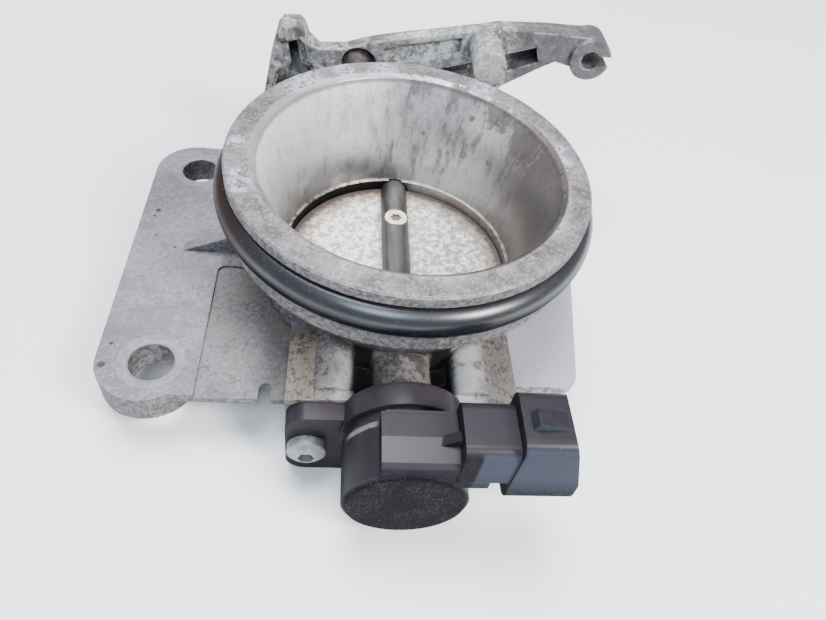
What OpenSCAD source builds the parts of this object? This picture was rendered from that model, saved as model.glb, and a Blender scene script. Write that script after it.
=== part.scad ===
// Cable-operated engine throttle body with a flared, sealed air inlet, a butterfly plate on a
// cross shaft, a rotary position sensor on the front and a lever, spring and bracket on the back.
// Origin: centre of the bore on the manifold face. +Z points to the air inlet, the shaft lies
// along Y, the sensor is at -Y and the lever at +Y.

/* [Bore and inlet bell] */
// Radius of the throttle bore
bore_r = 30.5; // [30.2:0.1:31]
// Height from the manifold face to the inlet rim
body_h = 45; // [44:0.5:47]
// Outer radius of the inlet lip
lip_r = 44; // [43.5:0.5:45]
// Inner radius of the bell at the rim
mouth_r = 37.3; // [36.5:0.1:38]
// Thickness of the lip above the seal groove
lip_t = 3; // [2.5:0.1:3.5]
// Outer radius of the groove's lower wall
groove_wall_r = 44; // [43:0.5:45]
// Height of the seal groove
groove_h = 9.6; // [9.2:0.1:10]
// Section radius of the inlet seal
seal_r = 4.1; // [3.8:0.1:4.3]

/* [Throttle] */
// Height of the shaft axis above the manifold face
shaft_z = 9.7; // [9.2:0.1:10.2]
// Radius of the throttle shaft
shaft_r = 4; // [3.8:0.1:4.1]
// Radial gap between the butterfly plate and the bore
plate_gap = 0.2; // [0.1:0.05:0.4]
// Thickness of the butterfly plate
plate_t = 1.6; // [1.2:0.1:2]
// Distance of each butterfly screw from the bore axis
plate_screw_y = 14.5; // [10:0.5:16]

/* [Mounting flange] */
// Height of the flange's upper face
flange_top = 8; // [7.5:0.5:9]
// Thickness of the flange web
web_t = 2.8; // [2.4:0.2:3.6]
// Distance of the two left bolt holes from the bore axis, along X
bolt_x = 58.8; // [58:0.1:60]
// Distance of the two left bolt holes from the bore axis, along Y
bolt_y = 35.7; // [35:0.1:36.5]
// Radius of the bolt holes
bolt_hole_r = 5.2; // [4.3:0.1:5.5]
// Radius of the bolt bosses
boss_r = 11; // [10.5:0.5:11.5]

/* [Position sensor] */
// Distance of the sensor's mounting plane from the bore axis
sensor_y = 49.5; // [49:0.5:50.5]
// Radius of the sensor's base disc
base_r = 14.2; // [14:0.2:14.8]
// Radius of the sensor's body
sensor_r = 13.6; // [13:0.2:14]
// Distance of each sensor screw from the bore axis, along X
ear_x = 21.4; // [21:0.2:21.8]

/* [Cable bracket] */
// Distance of the bracket's front face from the bore axis
bracket_y = 56; // [56:0.5:57]
// Thickness of the bracket
bracket_t = 8; // [7:0.5:9]
// Outer radius of the bracket's slotted eye
eye_r = 6.3; // [6:0.1:6.8]
// Radius of the hole in the eye
eye_hole_r = 2.9; // [2.5:0.1:3.2]

/* [Lever] */
// Radius of the cable sector
sector_r = 18; // [17:0.5:18.5]
// Radius of the cable nipple's hole
nipple_r = 3.2; // [2.8:0.1:3.4]

/* [Hidden] */
$fn = 72;
EPS = 0.01;

// inlet bell: the flare is one arc that starts upright at the step above the bore
step_z = 13.7;
step_r = bore_r + 0.5;
outlet_r = bore_r + 0.5;
outlet_depth = 5;
flare_rise = body_h - step_z;
flare_out = mouth_r - step_r;
flare_arc_r = (pow(flare_rise, 2) + pow(flare_out, 2)) / (2 * flare_out);
groove_top = body_h - lip_t;
groove_bottom = groove_top - groove_h;
groove_wall_t = 4.8;
seal_ring_r = groove_wall_r - 1.5;
groove_floor_r = seal_ring_r - seal_r;
seal_z = (groove_top + groove_bottom) / 2 - 0.2;
barrel_r = 36.5;
barrel_top = 16;
face_ring_r = 41;
edge_cut = 0.5;

// flange outline
third_bolt = [46, 33];
corner_x = bolt_x + 1.1;
corner_y = bolt_y - 0.5;
corner_r = boss_r + 0.5;
web_z = flange_top - web_t;
flange_front_y = -44.8;
pad_edge_x = -(bolt_x - boss_r);
pad_step = 0.8;
notch_x = -31.8;
notch_w = 3;
notch_depth = 4.5;
right_edge_x = 46;
right_front_y = -39;
right_corner_r = 5;

// shaft bearings and seals, as distances from the bore axis along Y
bearing_r = 6;
front_bearing_y = [-45, -37];
rear_bearing_y = [36, 44.6];
front_seal_y = [-sensor_y + 0.2, -45.4];
rear_seal_y = [44.9, 46.9];
running_gap = 0.03;
front_boss_r = 7.3;
rear_boss_r = 9.2;
rear_boss_y = 47;

// shaft ends
shaft_front_y = -50.3;
shaft_rear_y = 57;
tang = [2.4, 8, 6.2];
tail_r = 3.5;
tail_flat = 5.4;
tail_end_y = 77;
plate_r = bore_r - plate_gap;
plate_screw_head_r = 3.2;
plate_screw_r = 1.75;
plate_screw_head_z = shaft_z + 2.3;
plate_screw_top_z = shaft_z + 3.7;
plate_screw_rim_z = plate_screw_top_z - 0.4;

// sensor, along Y from the mounting plane outwards
base_y = -sensor_y - 5.5;
neck_y = base_y - 2.5;
front_y = -71.5;
cavity_r = 11.8;
cavity_end_y = -69;
ear_y = -sensor_y - 4.5;
ear_z = 3.1;
ear_half_h = 11.4;
ear_end = 26.3;
ear_corner_r = 4.8;
sleeve_r = 3.6;
sensor_screw_r = 2.1;
sensor_head_r = 4.45;
connector_y = [front_y, -57.5];
shroud_x = [19.8, 34.4];
shroud_z = [14, 35.3];
shroud_wall = 1.7;
shroud_floor_x = 21.6;
terminal_z = [20.2, 24.7, 29.2];
terminal_y = -64.5;
terminal_x = [11, 28.2];
hub_r = 4.7;

// bracket
bracket_back = bracket_y + bracket_t;
eye = [56.9, 45.6];
eye_slot = 3.2;
post = [24.1, 46.2];
post_r = 4.8;
post_front_y = 43;
pin_at = [-12.8, 36];
pin_r = 3.8;
recess_r = 5.5;
layer_y = bracket_y + 4.6;
foot_z = 4;
foot_top = 21;
bracket_bolt_at = [[-34, 12], [26, 12]];
bracket_bolt_r = 3;
idle_at = [13, bracket_y + 2];
idle_r = 2;
idle_lug_z = [17, 22];

// lever, along Y
arm_y = [57.2, 59.6];
arm_x = 17.5;
arm_half_h = 3;
sector_y = [65, 70];
sector_from = 84;
sector_to = 186;
groove_r = 15.6;
nipple_at_r = 12.8;
nipple_at = 180;
washer_t = 1.2;
nut_t = 4.6;
nut_flats = 12;

// spring
spring_wire_r = 0.85;
spring_r = 9.6;
spring_y = [48.9, 55.6];
spring_turns = 4;
bush_r = 7.8;

// ---------------------------------------------------------------- shared shapes

// a flat shape in the XZ plane, made solid from y0 to y1
module along_y(y0, y1) {
    translate([0, y1, 0])
        rotate([90, 0, 0])
            linear_extrude(y1 - y0)
                children();
}

// a round bar along Y
module bar_y(r, y0, y1, x = 0, z = shaft_z) {
    along_y(y0, y1)
        translate([x, z])
            circle(r);
}

// a ring along Y on the shaft axis
module ring_y(outer, inner, y0, y1) {
    along_y(y0, y1)
        translate([0, shaft_z])
            difference() {
                circle(outer);
                circle(inner);
            }
}

module block(x, y, z) {
    translate([x[0], y[0], z[0]])
        cube([x[1] - x[0], y[1] - y[0], z[1] - z[0]]);
}

// a hexagon with the given distance across its flats
module hexagon(flats) {
    circle(r = flats / sqrt(3), $fn = 6);
}

// the shaft's tail: round with two flats, and larger all round by the gap
module tail_section(gap = 0) {
    intersection() {
        circle(tail_r + gap);
        square([tail_flat + 2 * gap, 3 * tail_r], center = true);
    }
}

// ---------------------------------------------------------------- body casting

// the solid of revolution of the barrel, the bell and the seal groove's walls
module bell_outside() {
    rotate_extrude()
        polygon([
            [0, 0],
            [face_ring_r, 0],
            [face_ring_r, flange_top],
            [barrel_r, flange_top],
            [barrel_r, barrel_top],
            [face_ring_r - 1, groove_bottom - groove_wall_t],
            [groove_wall_r - edge_cut, groove_bottom - groove_wall_t],
            [groove_wall_r, groove_bottom - groove_wall_t + edge_cut],
            [groove_wall_r, groove_bottom],
            [groove_floor_r, groove_bottom],
            [groove_floor_r, groove_top],
            [lip_r, groove_top],
            [lip_r, body_h - edge_cut],
            [lip_r - edge_cut, body_h],
            [0, body_h]
        ]);
}

// the air passage: the outlet's relief, the bore, the step and the flare
module air_passage() {
    translate([0, 0, -1])
        cylinder(r = outlet_r, h = outlet_depth + 1);
    translate([0, 0, -1])
        cylinder(r = bore_r, h = step_z + 1 + EPS);
    rotate_extrude()
        difference() {
            translate([0, step_z])
                square([lip_r, flare_rise + 1]);
            translate([step_r + flare_arc_r, step_z])
                circle(flare_arc_r, $fn = 360);
            translate([mouth_r + 1, step_z])
                square([lip_r, flare_rise + 2]);
        }
    translate([0, 0, body_h - 0.8])
        cylinder(r1 = mouth_r - 0.35, r2 = mouth_r + 0.8, h = 0.8 + EPS);
}

module flange_outline() {
    // left side, with its two bolt corners
    translate([-corner_x - corner_r, -corner_y])
        square([50, 2 * corner_y]);
    translate([-corner_x, flange_front_y])
        square([corner_x, 60]);
    translate([-corner_x, 0])
        square([corner_x, corner_y + corner_r]);
    for (side = [-1, 1])
        translate([-corner_x, side * corner_y])
            circle(corner_r);
    // right side, with a rounded front corner and the third bolt's corner
    translate([0, right_front_y])
        square([right_edge_x - right_corner_r, 60]);
    translate([right_edge_x - right_corner_r, right_front_y + right_corner_r])
        circle(right_corner_r);
    polygon([
        [0, right_front_y + right_corner_r],
        [right_edge_x, right_front_y + right_corner_r],
        [third_bolt[0] + boss_r, third_bolt[1]],
        [third_bolt[0], third_bolt[1] + boss_r],
        [0, third_bolt[1] + boss_r]
    ]);
    translate(third_bolt)
        circle(boss_r);
}

// under the web: bolt bosses, and ribs that tie them to the face ring
module flange_underside() {
    for (side = [-1, 1])
        translate([-corner_x, side * corner_y])
            cylinder(r = corner_r, h = flange_top);
    translate(third_bolt)
        cylinder(r = boss_r, h = flange_top);
    for (at = [[-bolt_x, bolt_y], [-bolt_x, -bolt_y], third_bolt])
        rotate([0, 0, atan2(at[1], at[0])])
            translate([bore_r + 2, -2.5, 0])
                cube([norm(at) - bore_r - 6, 5, flange_top - 1]);
    block([-corner_x - corner_r, -corner_x - corner_r + 4], [-corner_y, corner_y], [0, flange_top - 1]);
}

// the lowered field of the flange's upper face, right of the pad between the left bolts
module flange_field() {
    round_r = 2;
    translate([0, 0, flange_top - pad_step])
        linear_extrude(pad_step + 1)
            difference() {
                union() {
                    translate([pad_edge_x + round_r, -60])
                        square([30, 60 - 3.6]);
                    translate([pad_edge_x, -60])
                        square([10, 60 - 3.6 - round_r]);
                    translate([pad_edge_x + round_r, -3.6 - round_r])
                        circle(round_r);
                }
                translate([-27, -60])
                    square([60, 60]);
            }
}

module bolt_holes() {
    for (at = [[-bolt_x, bolt_y], [-bolt_x, -bolt_y], third_bolt])
        translate([at[0], at[1], 0]) {
            translate([0, 0, -1])
                cylinder(r = bolt_hole_r, h = flange_top + 2);
            translate([0, 0, flange_top - 0.4])
                cylinder(r1 = bolt_hole_r, r2 = bolt_hole_r + 0.5, h = 0.4 + EPS);
        }
}

// a tapered rib from the bell down to the left of the flange
module gusset() {
    along_y(1, 4.4)
        polygon([[-58, flange_top - 1], [-58, flange_top], [-35, flange_top + 10.6], [-35, flange_top - 1]]);
    along_y(4.4, 7.2)
        polygon([[-52, flange_top - 1], [-52, flange_top], [-35, flange_top + 5.4], [-35, flange_top - 1]]);
}

// the two solid blocks and the shaft's boss that carry the position sensor
module sensor_seat() {
    for (side = [0, 1])
        mirror([side, 0, 0]) {
            block([19.4, 26.6], [-sensor_y, -24], [0, 15.2]);
            block([19.4, 26.6], [-sensor_y, flange_front_y - 0.4], [-3.4, 1]);
            block([11.4, 20], [-sensor_y, -24], [0, 11.6]);
            bar_y(5.2, -sensor_y + 2.4, -27, x = 16.4, z = 12);
            block([11.4, 20], [-sensor_y, -sensor_y + 2.4], [0, 15.6]);
        }
    block([-12, 12], [-sensor_y, -28], [0, 2.6]);
    bar_y(front_boss_r, -sensor_y, -28);
}

// behind the bell: the shaft's rear boss and the two columns that carry the cable bracket
module rear_seat() {
    bar_y(rear_boss_r, 28, rear_boss_y);
    block([-41.5, -27], [38, bracket_y], [0, foot_top]);
    block([19.5, 32], [26, bracket_y], [0, foot_top]);
    block([-8, 8], [30, rear_boss_y], [0, 4]);
}

module body_casting() {
    color("#9a989b")
        difference() {
            union() {
                bell_outside();
                translate([0, 0, web_z])
                    linear_extrude(web_t)
                        flange_outline();
                flange_underside();
                gusset();
                sensor_seat();
                rear_seat();
            }
            air_passage();
            flange_field();
            bolt_holes();
            // cast notch in the flange's front edge
            translate([notch_x, flange_front_y + notch_depth - notch_w / 2, -1])
                cylinder(d = notch_w, h = flange_top + 2);
            block([notch_x - notch_w / 2, notch_x + notch_w / 2],
                [-60, flange_front_y + notch_depth - notch_w / 2], [-1, flange_top + 1]);
            // shaft tunnel with its bearing and seal seats
            bar_y(shaft_r + 0.4, -sensor_y - 1, rear_boss_y + 1);
            bar_y(bearing_r, -sensor_y - 1, front_bearing_y[1]);
            bar_y(bearing_r, rear_bearing_y[0], rear_boss_y + 1);
            // screw holes for the sensor and the bracket
            for (side = [-1, 1])
                bar_y(sensor_screw_r, -sensor_y - 1, -36, x = side * ear_x, z = ear_z);
            for (at = bracket_bolt_at)
                bar_y(bracket_bolt_r, bracket_y - 13, bracket_y + 1, x = at[0], z = at[1]);
        }
}

module inlet_seal() {
    color("#17171a")
        rotate_extrude()
            translate([seal_ring_r, seal_z])
                circle(seal_r);
}

// ---------------------------------------------------------------- shaft and butterfly

module front_bearing() {
    color("#b08d4f")
        ring_y(bearing_r, shaft_r + running_gap, front_bearing_y[0], front_bearing_y[1]);
}

module rear_bearing() {
    color("#b08d4f")
        ring_y(bearing_r, shaft_r + running_gap, rear_bearing_y[0], rear_bearing_y[1]);
}

module front_shaft_seal() {
    color("#202022")
        ring_y(bearing_r, shaft_r + running_gap, front_seal_y[0], front_seal_y[1]);
}

module rear_shaft_seal() {
    color("#202022")
        ring_y(bearing_r, shaft_r + running_gap, rear_seal_y[0], rear_seal_y[1]);
}

module throttle_shaft() {
    color("#4b4b4d")
        difference() {
            union() {
                bar_y(shaft_r, shaft_front_y, shaft_rear_y);
                translate([-tang[0] / 2, shaft_front_y - tang[1], shaft_z - tang[2] / 2])
                    cube([tang[0], tang[1] + 1, tang[2]]);
                along_y(shaft_rear_y - 1, tail_end_y)
                    translate([0, shaft_z])
                        tail_section();
            }
            // slot that holds the plate
            translate([-shaft_r - 1, -bore_r, shaft_z - plate_t / 2])
                cube([2 * shaft_r + 2, 2 * bore_r, plate_t]);
            for (side = [-1, 1])
                translate([0, side * plate_screw_y, 0]) {
                    translate([0, 0, shaft_z - shaft_r - 1])
                        cylinder(r = plate_screw_r, h = 2 * shaft_r);
                    translate([0, 0, plate_screw_head_z])
                        cylinder(r = plate_screw_head_r + 0.15, h = shaft_r);
                }
        }
}

module butterfly_plate() {
    color("#b9b6b0")
        translate([0, 0, shaft_z - plate_t / 2])
            difference() {
                cylinder(r = plate_r, h = plate_t);
                for (side = [-1, 1])
                    translate([0, side * plate_screw_y, -1])
                        cylinder(r = plate_screw_r, h = plate_t + 2);
            }
}

module butterfly_screws() {
    color("#a9834a")
        for (side = [-1, 1])
            translate([0, side * plate_screw_y, 0])
                difference() {
                    union() {
                        translate([0, 0, shaft_z - shaft_r - 0.6])
                            cylinder(r = plate_screw_r, h = plate_screw_head_z - shaft_z + shaft_r + 0.6);
                        translate([0, 0, plate_screw_head_z])
                            cylinder(r = plate_screw_head_r, h = plate_screw_rim_z - plate_screw_head_z);
                        translate([0, 0, plate_screw_rim_z])
                            cylinder(r1 = plate_screw_head_r, r2 = plate_screw_head_r - 0.5, h = 0.4);
                    }
                    translate([0, 0, plate_screw_top_z - 0.9])
                        cylinder(r = 1.5, h = 1, $fn = 6);
                }
}

// ---------------------------------------------------------------- position sensor

// the plate with the two screw ears, rounded at its corners
module ear_outline() {
    flat_x = ear_end - ear_corner_r;
    flat_z = ear_half_h - ear_corner_r;
    translate([0, ear_z]) {
        square([2 * flat_x, 2 * ear_half_h], center = true);
        square([2 * ear_end, 2 * flat_z], center = true);
        for (x = [-flat_x, flat_x], z = [-flat_z, flat_z])
            translate([x, z])
                circle(ear_corner_r);
    }
}

module sensor_base() {
    color("#232226")
        difference() {
            union() {
                along_y(ear_y, -sensor_y)
                    ear_outline();
                bar_y(base_r, base_y, -sensor_y);
                bar_y(sensor_r - 1, neck_y, base_y);
            }
            bar_y(hub_r + 0.3, neck_y - 1, -sensor_y + 1);
            bar_y(cavity_r - 1.4, neck_y - 1, base_y + 1.4);
            ring_y(7, 5.6, -sensor_y - 1.4, -sensor_y + 1);
            for (side = [-1, 1])
                bar_y(sleeve_r, ear_y - 1, -sensor_y + 1, x = side * ear_x, z = ear_z);
        }
}

module sensor_seal() {
    color("#2b2b2e")
        ring_y(7, 5.6, -sensor_y - 1.4, -sensor_y);
}

module sensor_sleeves() {
    color("#9a9ca0")
        for (side = [-1, 1])
            along_y(ear_y, -sensor_y)
                translate([side * ear_x, ear_z])
                    difference() {
                        circle(sleeve_r);
                        circle(sensor_screw_r + 0.2);
                    }
}

module sensor_screws() {
    color("#a5a6a8")
        for (side = [-1, 1])
            difference() {
                union() {
                    bar_y(sensor_screw_r, ear_y - 1, -37.5, x = side * ear_x, z = ear_z);
                    translate([side * ear_x, ear_y, ear_z])
                        rotate([90, 0, 0])
                            rotate_extrude()
                                intersection() {
                                    translate([0, -3.3])
                                        circle(7);
                                    square([sensor_head_r, 4]);
                                }
                }
                translate([side * ear_x, ear_y - 1.6, ear_z])
                    rotate([90, 0, 0])
                        cylinder(r = 2, h = 5, $fn = 6);
            }
}

// a bar along X with its four long edges rounded
module soft_bar(x, y, z, r) {
    block(x, y, [z[0] + r, z[1] - r]);
    block(x, [y[0] + r, y[1] - r], z);
    for (at_y = [y[0] + r, y[1] - r], at_z = [z[0] + r, z[1] - r])
        translate([x[0], at_y, at_z])
            rotate([0, 90, 0])
                cylinder(r = r, h = x[1] - x[0]);
}

module connector() {
    // block on the body, with a flat at the back and a slope down to its front edge
    translate([-6.5, 0, 0])
        rotate([90, 0, 90])
            linear_extrude(17)
                polygon([
                    [-58.9, shaft_z], [-58.9, 27], [-64.6, 27.2], [-69.8, 26.4],
                    [-70.6, 25.8], [-70.9, 25], [-70.9, shaft_z]
                ]);
    block([-5.3, 10.5], [-58.9, neck_y], [shaft_z, 25.4]);
    // neck, the web below it, and the shroud that takes the plug
    soft_bar([9, 20.4], [front_y + 0.4, -58.3], [19, 32], 2.4);
    block([9, 16], [front_y + 0.6, -58.6], [18, 27]);
    soft_bar(shroud_x, connector_y, shroud_z, 2.6);
    // rib beside the neck, and the locking ramp on the shroud
    along_y(-66.4, -64.2)
        polygon([[4.4, 26.4], [9.3, 29.6], [9.3, 26.4]]);
    along_y(-67, -63.4)
        polygon([[21.2, 35], [22.4, 37.3], [28.6, 35.9], [28.6, 35]]);
}

module terminal_bars() {
    for (z = terminal_z)
        block(terminal_x, [terminal_y - 0.75, terminal_y + 0.75], [z - 0.4, z + 0.4]);
}

module sensor_housing() {
    color("#29282c")
        difference() {
            union() {
                bar_y(sensor_r, front_y + 1, neck_y);
                translate([0, front_y, shaft_z])
                    rotate([-90, 0, 0])
                        cylinder(r1 = sensor_r - 1, r2 = sensor_r, h = 1);
                connector();
            }
            bar_y(cavity_r, cavity_end_y, neck_y + 1);
            // the shroud's mouth leans outwards at the bottom
            along_y(front_y - 1, connector_y[1] + 1)
                polygon([[29.2, 37], [29.7, 35.3], [34.2, 21], [34.4, 17], [33.4, 13], [40, 13], [40, 37]]);
            block([shroud_floor_x, shroud_x[1] + 1],
                [connector_y[0] + shroud_wall, connector_y[1] - shroud_wall],
                [shroud_z[0] + shroud_wall, shroud_z[1] - shroud_wall]);
            terminal_bars();
        }
}

module sensor_terminals() {
    color("#b39a5b")
        terminal_bars();
}

module sensor_track() {
    color("#3c4a3c")
        ring_y(cavity_r - 0.2, 2.4, cavity_end_y, cavity_end_y + 1.2);
}

module sensor_rotor() {
    color("#d8d2c2")
        difference() {
            union() {
                bar_y(hub_r, -59, shaft_front_y - 0.6);
                bar_y(8.6, -64.2, -58);
            }
            translate([-tang[0] / 2, shaft_front_y - tang[1] - 0.3, shaft_z - tang[2] / 2])
                cube([tang[0], tang[1] + 1, tang[2]]);
        }
}

module sensor_wiper() {
    color("#c2994f")
        union() {
            ring_y(6, 3, -64.8, -64.2);
            block([-1.2, 1.2], [-64.8, -64.2], [shaft_z + 4, shaft_z + 9.4]);
            for (radius = [7.4, 9])
                block([-0.6, 0.6], [-67.4, -64.2], [shaft_z + radius - 0.4, shaft_z + radius + 0.4]);
        }
}

// ---------------------------------------------------------------- cable bracket

// the bracket's outline; the arm's rear half is lower by drop
module bracket_outline(drop = 0) {
    // arm
    polygon([
        [-28, 41], [-24.5, 39.8 - drop], [-17, 40.6 - drop], [-10, 43.2 - drop], [-1.6, 45.4 - drop],
        [7, 47.2 - drop], [19, 50 - drop], [28, 51.4 - drop / 2], [42, 52 - drop / 4],
        [eye[0] - 1, eye[1] + eye_r],
        [eye[0] - 5.6, eye[1] - 3], [46.5, 43.6], [42.5, 41.2], [31.5, 33.6],
        [20, 31], [-10, 31.5], [-28, 30]
    ]);
    translate(eye)
        circle(eye_r);
    // tower over the left foot
    polygon([
        [-41.5, foot_z], [-41.5, 22], [-39.2, 34.8], [-37, 43], [-35.4, 45.4],
        [-30.6, 45.8], [-29, 44.2], [-28, 41], [-25, 37.4], [-25, 30], [-27, 26], [-27, foot_z]
    ]);
    // right foot
    polygon([[20, foot_z], [20, 36], [31.5, 34], [31.5, foot_z]]);
}

module cable_bracket() {
    color("#8f9290")
        difference() {
            union() {
                along_y(bracket_y, layer_y)
                    bracket_outline();
                along_y(layer_y, bracket_back)
                    bracket_outline(2);
                along_y(bracket_y - 1, bracket_back + 1)
                    translate(eye)
                        circle(eye_r);
                bar_y(post_r, post_front_y, layer_y, x = post[0], z = post[1]);
                block([8, 21], [bracket_y - 0.8, bracket_y + 4.4], idle_lug_z);
            }
            // slotted eye
            bar_y(eye_hole_r, bracket_y - 2, bracket_back + 2, x = eye[0], z = eye[1]);
            block([eye[0], eye[0] + 10], [bracket_y - 2, bracket_back + 2],
                [eye[1] - eye_slot / 2, eye[1] + eye_slot / 2]);
            // long channel below the arm's top rib, on both sides of the post
            along_y(bracket_y - 1, bracket_y + 5)
                difference() {
                    polygon([
                        [6, 35.4], [21, 40.6], [32, 44.8], [39.6, 47.4],
                        [41.4, 42.9], [33, 39.2], [22, 34.9], [8, 32.4]
                    ]);
                    translate(post)
                        circle(post_r);
                }
            // shallow field above the channel
            along_y(bracket_y - 1, bracket_y + 1.2)
                polygon([[-6, 41.8], [-1, 43.7], [8, 45.7], [17, 48], [17, 43.6], [6, 40], [-4, 37.6]]);
            // recess for the pin
            bar_y(recess_r, bracket_y - 1, layer_y - 0.1, x = pin_at[0], z = pin_at[1]);
            // slot and pocket in the tower
            along_y(bracket_y - 1, bracket_y + 1.8)
                polygon([
                    [-35.8, 41.1], [-30.3, 42.3], [-28.8, 40.8], [-27.6, 35.6], [-26, 34],
                    [-26.6, 24], [-39.6, 24], [-37.6, 31], [-35.4, 33.6]
                ]);
            along_y(bracket_y - 1, bracket_y + 6.2)
                polygon([
                    [-33.9, 40.1], [-31.3, 41.1], [-30, 34], [-27, 32.6],
                    [-28, 24], [-38.6, 24], [-36.6, 30.4], [-33, 33.2]
                ]);
            for (at = bracket_bolt_at)
                bar_y(bracket_bolt_r + 0.3, bracket_y - 1, bracket_back + 1, x = at[0], z = at[1]);
            translate([idle_at[0], idle_at[1], idle_lug_z[0] - 1])
                cylinder(r = idle_r, h = 8);
        }
}

module bracket_bolts() {
    color("#a8a9a6")
        for (at = bracket_bolt_at) {
            bar_y(bracket_bolt_r, bracket_y - 12, bracket_back + 1, x = at[0], z = at[1]);
            bar_y(6.4, bracket_back, bracket_back + 1.3, x = at[0], z = at[1]);
            along_y(bracket_back + 1, bracket_back + 6)
                translate(at)
                    hexagon(10);
        }
}

// the round-ended pin pressed into the bracket's recess
module bracket_pin() {
    color("#8b8086")
        union() {
            bar_y(pin_r, layer_y - 1.4, layer_y - 0.1, x = pin_at[0], z = pin_at[1]);
            translate([pin_at[0], layer_y - 1.4, pin_at[1]])
                rotate([90, 0, 0])
                    rotate_extrude()
                        intersection() {
                            translate([0, -4.4])
                                circle(5.81);
                            square([pin_r, 4]);
                        }
        }
}

module idle_stop_screw() {
    color("#8f8d86")
        translate([idle_at[0], idle_at[1], shaft_z + arm_half_h + 0.02])
            difference() {
                cylinder(r = idle_r, h = 17);
                translate([-3, -0.4, 15.8])
                    cube([6, 0.8, 2]);
            }
}

module idle_stop_locknut() {
    color("#9b9a96")
        translate([idle_at[0], idle_at[1], idle_lug_z[1]])
            linear_extrude(3.2)
                difference() {
                    hexagon(7);
                    circle(idle_r);
                }
}

// ---------------------------------------------------------------- lever and spring

module sector_outline(r) {
    intersection() {
        translate([0, shaft_z])
            circle(r);
        translate([0, shaft_z])
            polygon(concat(
                [[0, 0]],
                [for (i = [0:4]) let (a = sector_from + (sector_to - sector_from) * i / 4)
                    [3 * r * cos(a), 3 * r * sin(a)]]
            ));
    }
}

module throttle_lever() {
    nipple = [nipple_at_r * cos(nipple_at), shaft_z + nipple_at_r * sin(nipple_at) + 1.6];
    color("#a7a08c")
        difference() {
            union() {
                bar_y(7, arm_y[0], sector_y[1]);
                block([3, arm_x], arm_y, [shaft_z - arm_half_h, shaft_z + arm_half_h]);
                along_y(sector_y[0], sector_y[1])
                    sector_outline(sector_r);
            }
            // cable groove round the sector's rim
            translate([0, (sector_y[0] + sector_y[1]) / 2, shaft_z])
                rotate([90, 0, 0])
                    rotate_extrude()
                        translate([groove_r + 1, 0])
                            polygon([[0, 0.9], [3, 1.6], [3, -1.6], [0, -0.9]]);
            bar_y(nipple_r, sector_y[0] - 1, sector_y[1] + 1, x = nipple[0], z = nipple[1]);
            // way for the cable, from the nipple's hole to the groove
            block([-sector_r - 1, nipple[0]], [(sector_y[0] + sector_y[1]) / 2, sector_y[1] + 1],
                [nipple[1] + 0.6, nipple[1] + 2.2]);
            // weight-saving hole
            bar_y(2.2, sector_y[0] - 1, sector_y[1] + 1, x = -6.6, z = shaft_z + 9.4);
            along_y(arm_y[0] - 1, sector_y[1] + 1)
                translate([0, shaft_z])
                    tail_section(0.02);
        }
}

module lever_washer() {
    color("#9c9b98")
        ring_y(6.6, tail_r + 0.2, sector_y[1], sector_y[1] + washer_t);
}

module lever_nut() {
    color("#a3a29e")
        along_y(sector_y[1] + washer_t, sector_y[1] + washer_t + nut_t)
            translate([0, shaft_z])
                difference() {
                    hexagon(nut_flats);
                    circle(tail_r + 0.05);
                }
}

module spring_bush() {
    color("#d9d4c6")
        union() {
            ring_y(bush_r, shaft_r + 0.1, rear_boss_y + 0.05, shaft_rear_y - 0.1);
            ring_y(11, shaft_r + 0.1, rear_boss_y + 0.05, rear_boss_y + 0.85);
        }
}

// The spring's centre line: a leg from the right column, the coil, and a leg under the lever's arm.
// Angles are measured from +X towards +Z, and the coil ends as it reaches its moving leg.
coil_from = -90;
coil_sweep = 360 * spring_turns + 14;
coil_steps = 66;
function coil_point(a, y) = [spring_r * cos(a), y, shaft_z + spring_r * sin(a)];
coil_route = [
    for (i = [0:coil_steps])
        coil_point(coil_from + coil_sweep * i / coil_steps,
            spring_y[0] + (spring_y[1] - spring_y[0]) * i / coil_steps)
];
spring_route = concat(
    [[-14.5, spring_y[0], shaft_z - spring_r + 0.5], [-7, spring_y[0], shaft_z - spring_r]],
    coil_route,
    [[8, 57.2, 3.4], [12.5, 58.2, 5.6], [15.5, 58.4, 5.7]]
);

// a round wire along a route, as one closed mesh
module wire(route, r, sides = 8) {
    last = len(route) - 1;
    function tangent(i) = let (d = route[min(i + 1, last)] - route[max(i - 1, 0)]) d / norm(d);
    function ring(i) =
        let (t = tangent(i), side = cross([0, 1, 0], t), u = side / norm(side), v = cross(t, u))
        [for (k = [0:sides - 1]) route[i] + r * (cos(360 * k / sides) * u + sin(360 * k / sides) * v)];
    points = [for (i = [0:last]) each ring(i)];
    walls = [
        for (i = [0:last - 1], k = [0:sides - 1])
            let (a = i * sides + k, b = i * sides + (k + 1) % sides)
            each [[a, b, b + sides], [a, b + sides, a + sides]]
    ];
    ends = [
        [for (k = [sides - 1:-1:0]) k],
        [for (k = [0:sides - 1]) last * sides + k]
    ];
    polyhedron(points, concat(walls, ends));
}

module return_spring() {
    color("#77787a")
        wire(spring_route, spring_wire_r);
}

body_casting();
inlet_seal();
front_bearing();
rear_bearing();
front_shaft_seal();
rear_shaft_seal();
throttle_shaft();
butterfly_plate();
butterfly_screws();
sensor_base();
sensor_housing();
sensor_seal();
sensor_sleeves();
sensor_screws();
sensor_rotor();
sensor_wiper();
sensor_track();
sensor_terminals();
cable_bracket();
bracket_bolts();
bracket_pin();
throttle_lever();
lever_washer();
lever_nut();
return_spring();
spring_bush();
idle_stop_screw();
idle_stop_locknut();
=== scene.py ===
"""Looks of a cable-operated throttle body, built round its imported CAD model."""

import math

import bmesh
import bpy
from mathutils import Matrix, Vector


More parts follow.
